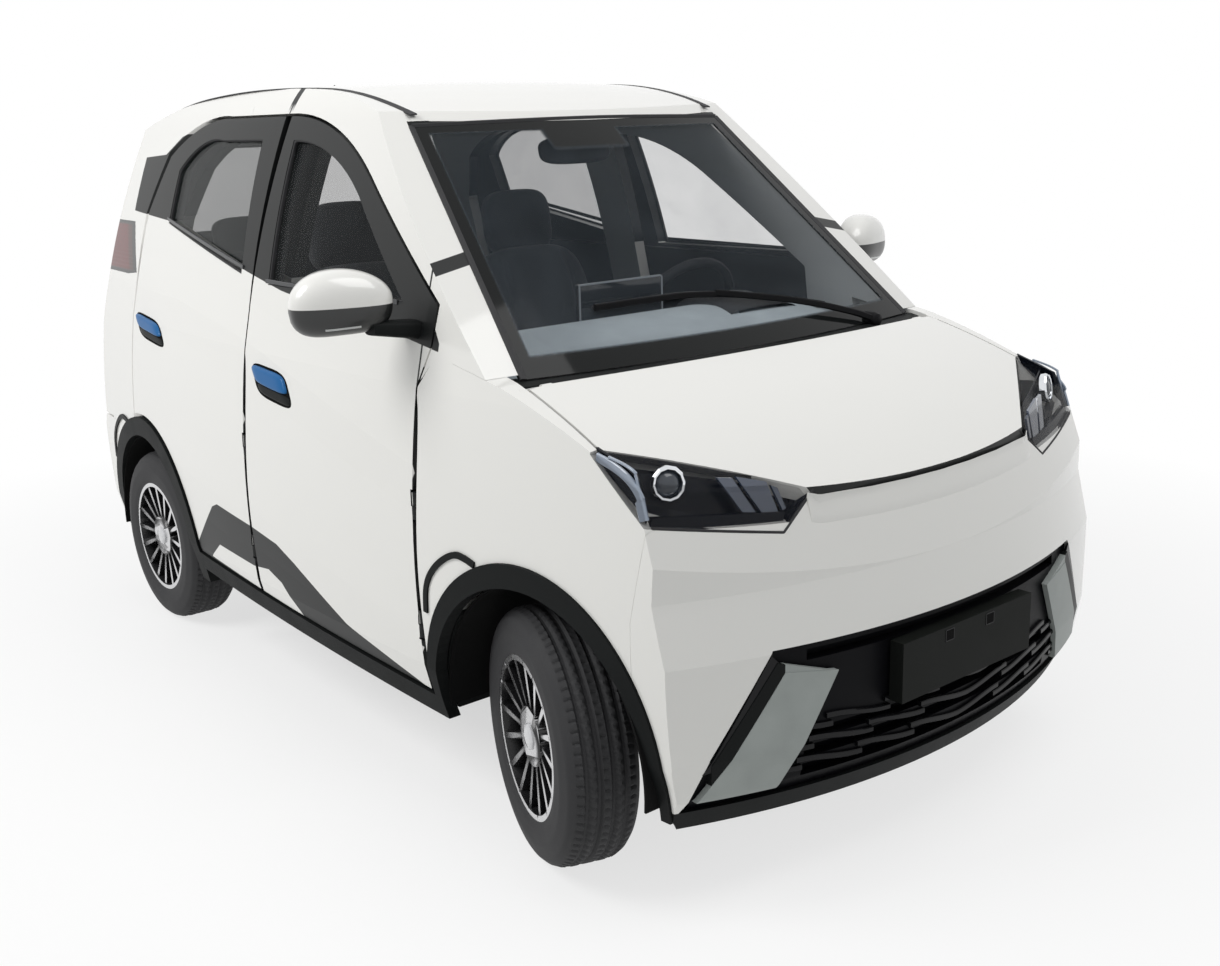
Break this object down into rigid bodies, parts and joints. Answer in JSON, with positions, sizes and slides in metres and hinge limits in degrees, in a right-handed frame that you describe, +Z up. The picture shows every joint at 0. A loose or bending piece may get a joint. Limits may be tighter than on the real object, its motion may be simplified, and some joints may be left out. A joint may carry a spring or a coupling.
{
  "type": "electric car",
  "caption": "Small electric hatchback with side doors, hood and tailgate that open, wheels that roll and front wheels that steer.",
  "frame": {"origin": "on the ground at the centre of the car's bounding box", "axes": "+Z up, +Y towards the tail, +X to the car's left"},
  "size_m": [1.846, 3, 1.6109],
  "materials": {
    "paint": "gloss",
    "glass": "clear",
    "lamp": "gloss",
    "tail_lamp": "gloss",
    "black_trim": "satin",
    "silver_trim": "satin",
    "steel": "satin",
    "battery_case": "satin",
    "dash_grey": "matte",
    "screen_black": "gloss",
    "seat_cloth": "matte",
    "tyre": "matte",
    "alloy": "machined"
  },
  "bodies": {
    "body": {"body_side_left": "paint", "body_side_right": "paint", "roof_panel": "paint", "front_bumper": "paint", "rear_bumper": "paint", "fender_left": "paint", "fender_right": "paint", "windscreen": "glass", "headlamps": "lamp", "tail_lamps": "tail_lamp", "grille": "black_trim", "number_plate": "black_trim", "grille_blades": "silver_trim", "front_lip": "black_trim", "cladding": "black_trim", "wheel_liners": "black_trim", "cowl": "black_trim", "floor_pan": "steel", "firewall": "steel", "battery_pack": "battery_case", "rear_axle": "steel", "front_suspension": "steel", "dashboard": "dash_grey", "centre_screen": "screen_black", "steering_column": "black_trim", "front_seats": "seat_cloth", "rear_seat": "seat_cloth"},
    "hood": {"hood": "paint"},
    "hatch": {"hatch": "paint", "hatch_glass": "glass"},
    "steering_wheel": {"steering_wheel": "black_trim"},
    "front_door_left": {"front_door_left": "paint", "front_glass_left": "glass", "mirror_left": "paint"},
    "rear_door_left": {"rear_door_left": "paint", "rear_glass_left": "glass"},
    "knuckle_left": {"knuckle_left": "steel"},
    "front_wheel_left": {"tyre_front_left": "tyre", "wheel_front_left": "alloy"},
    "rear_wheel_left": {"tyre_rear_left": "tyre", "wheel_rear_left": "alloy"},
    "front_door_right": {"front_door_right": "paint", "front_glass_right": "glass", "mirror_right": "paint"},
    "rear_door_right": {"rear_door_right": "paint", "rear_glass_right": "glass"},
    "knuckle_right": {"knuckle_right": "steel"},
    "front_wheel_right": {"tyre_front_right": "tyre", "wheel_front_right": "alloy"},
    "rear_wheel_right": {"tyre_rear_right": "tyre", "wheel_rear_right": "alloy"}
  },
  "joints": [
    {"name": "front_door_left_hinge", "type": "hinge", "parent": "body", "child": "front_door_left", "pos_m": [0.72063, -0.606, 0.56], "axis": [0, 0, -1], "range_deg": [0, 65]},
    {"name": "rear_door_left_hinge", "type": "hinge", "parent": "body", "child": "rear_door_left", "pos_m": [0.73527, 0.193, 0.56], "axis": [0, 0, -1], "range_deg": [0, 65]},
    {"name": "front_door_right_hinge", "type": "hinge", "parent": "body", "child": "front_door_right", "pos_m": [-0.72063, -0.606, 0.56], "axis": [0, 0, 1], "range_deg": [0, 65]},
    {"name": "rear_door_right_hinge", "type": "hinge", "parent": "body", "child": "rear_door_right", "pos_m": [-0.73527, 0.193, 0.56], "axis": [0, 0, 1], "range_deg": [0, 65]},
    {"name": "hood_hinge", "type": "hinge", "parent": "body", "child": "hood", "pos_m": [0, -0.909, 0.974], "axis": [-1, 0, 0], "range_deg": [0, 50]},
    {"name": "hatch_hinge", "type": "hinge", "parent": "body", "child": "hatch", "pos_m": [0, 1.163, 1.541], "axis": [1, 0, 0], "range_deg": [0, 75]},
    {"name": "steer_right", "type": "hinge", "parent": "body", "child": "knuckle_right", "pos_m": [-0.586, -0.975, 0.266], "axis": [0, 0, 1], "range_deg": [-17, 53]},
    {"name": "steer_left", "type": "hinge", "parent": "body", "child": "knuckle_left", "pos_m": [0.586, -0.975, 0.266], "axis": [0, 0, 1], "range_deg": [-17, 53]},
    {"name": "steering_wheel_turn", "type": "hinge", "parent": "body", "child": "steering_wheel", "pos_m": [0.31, -0.335, 0.955], "axis": [0, 0.8829, 0.4695], "range_deg": [-238, 742]},
    {"name": "front_wheel_left_spin", "type": "hinge", "parent": "knuckle_left", "child": "front_wheel_left", "pos_m": [0.586, -0.975, 0.266], "axis": [0.9511, -0.309, 0], "continuous": true},
    {"name": "rear_wheel_left_spin", "type": "hinge", "parent": "body", "child": "rear_wheel_left", "pos_m": [0.6285, 0.975, 0.266], "axis": [1, 0, 0], "continuous": true},
    {"name": "front_wheel_right_spin", "type": "hinge", "parent": "knuckle_right", "child": "front_wheel_right", "pos_m": [-0.586, -0.975, 0.266], "axis": [0.9511, -0.309, 0], "continuous": true},
    {"name": "rear_wheel_right_spin", "type": "hinge", "parent": "body", "child": "rear_wheel_right", "pos_m": [-0.6285, 0.975, 0.266], "axis": [1, 0, 0], "continuous": true}
  ],
  "couplings": [
    {"joint": "steer_left", "follows": "steer_right", "ratio": 1},
    {"joint": "steering_wheel_turn", "follows": "steer_right", "ratio": 14}
  ]
}
